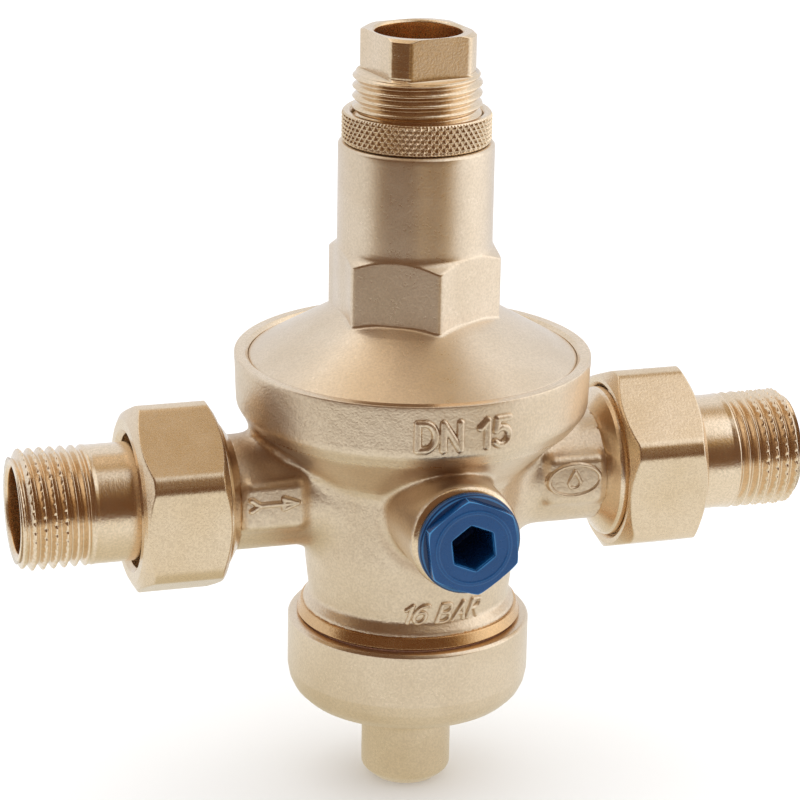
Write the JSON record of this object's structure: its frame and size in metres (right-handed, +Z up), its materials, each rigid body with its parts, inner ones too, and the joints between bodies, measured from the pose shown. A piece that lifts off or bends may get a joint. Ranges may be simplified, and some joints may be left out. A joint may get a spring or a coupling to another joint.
{
  "type": "pressure reducing valve",
  "caption": "Brass diaphragm pressure reducing valve with union ends, an adjusting screw with lock ring above the spring housing, and a plugged gauge port.",
  "frame": {"origin": "centre of the inlet tailpiece's end face, on the pipe axis", "axes": "+X along the flow from inlet to outlet, +Z up the spring housing to the adjusting screw, -Y out of the gauge port"},
  "size_m": [0.1404, 0.0677, 0.1361],
  "materials": {
    "cast_brass": "sand-blasted casting, satin",
    "turned_brass": "machined, fine turning marks",
    "stainless_steel": "turned stainless steel",
    "spring_steel": "drawn wire, lightly oiled",
    "black_rubber": "matte moulded rubber",
    "fibre": "pressed fibre sheet",
    "blue_plastic": "moulded plastic, semi-gloss"
  },
  "bodies": {
    "housing": {"valve_body": "cast_brass", "bonnet": "cast_brass", "bottom_cap": "cast_brass", "cap_gasket": "fibre", "slip_ring": "turned_brass", "seat_ring": "stainless_steel", "diaphragm": "black_rubber", "adjusting_spring": "spring_steel"},
    "stem": {"valve_stem": "stainless_steel", "stem_o_ring": "black_rubber", "disc_holder": "turned_brass", "valve_disc": "black_rubber", "disc_nut": "turned_brass", "diaphragm_washer": "turned_brass", "lower_spring_plate": "turned_brass", "stem_nut": "stainless_steel"},
    "spring_follower": {"upper_spring_plate": "turned_brass"},
    "adjuster": {"adjusting_screw": "turned_brass"},
    "locking": {"lock_ring": "turned_brass"},
    "inlet_tail": {"inlet_tailpiece": "turned_brass", "inlet_gasket": "fibre"},
    "inlet_nut": {"inlet_union_nut": "turned_brass"},
    "outlet_tail": {"outlet_tailpiece": "turned_brass", "outlet_gasket": "fibre"},
    "outlet_nut": {"outlet_union_nut": "turned_brass"},
    "plug_seal": {"port_seal": "black_rubber"},
    "plug": {"port_plug": "blue_plastic"}
  },
  "joints": [
    {"name": "stem_lift", "type": "slide", "parent": "housing", "child": "stem", "axis": [0, 0, 1], "range_m": [0, 0.0024], "deforming": ["diaphragm"]},
    {"name": "adjust_travel", "type": "slide", "parent": "housing", "child": "spring_follower", "axis": [0, 0, -1], "range_m": [0, 0.008], "deforming": ["adjusting_spring"]},
    {"name": "adjust_turn", "type": "hinge", "parent": "spring_follower", "child": "adjuster", "pos_m": [0.0702, 0, 0.066], "axis": [0, 0, -1], "range_deg": [0, 1645.8]},
    {"name": "lock_ring_turn", "type": "hinge", "parent": "housing", "child": "locking", "pos_m": [0.0702, 0, 0.0634], "axis": [0, 0, 1], "range_deg": [0, 180]},
    {"name": "inlet_union_travel", "type": "slide", "parent": "housing", "child": "inlet_tail", "axis": [-1, 0, 0], "range_m": [0, 0.00726]},
    {"name": "inlet_nut_turn", "type": "hinge", "parent": "inlet_tail", "child": "inlet_nut", "pos_m": [0.027, 0, 0], "axis": [-1, 0, 0], "range_deg": [0, 1420]},
    {"name": "outlet_union_travel", "type": "slide", "parent": "housing", "child": "outlet_tail", "axis": [1, 0, 0], "range_m": [0, 0.00726]},
    {"name": "outlet_nut_turn", "type": "hinge", "parent": "outlet_tail", "child": "outlet_nut", "pos_m": [0.1134, 0, 0], "axis": [1, 0, 0], "range_deg": [0, 1420]},
    {"name": "plug_travel", "type": "slide", "parent": "housing", "child": "plug_seal", "axis": [0, -1, 0], "range_m": [0, 0.0107]},
    {"name": "plug_turn", "type": "hinge", "parent": "plug_seal", "child": "plug", "pos_m": [0.0702, -0.033, 0.0004], "axis": [0, -1, 0], "range_deg": [0, 2880]}
  ],
  "couplings": [
    {"joint": "adjust_travel", "follows": "adjust_turn", "m_per_rad": 0.0002785},
    {"joint": "inlet_union_travel", "follows": "inlet_nut_turn", "m_per_rad": 0.0002887},
    {"joint": "outlet_union_travel", "follows": "outlet_nut_turn", "m_per_rad": 0.0002887},
    {"joint": "plug_travel", "follows": "plug_turn", "m_per_rad": 0.0002127}
  ]
}
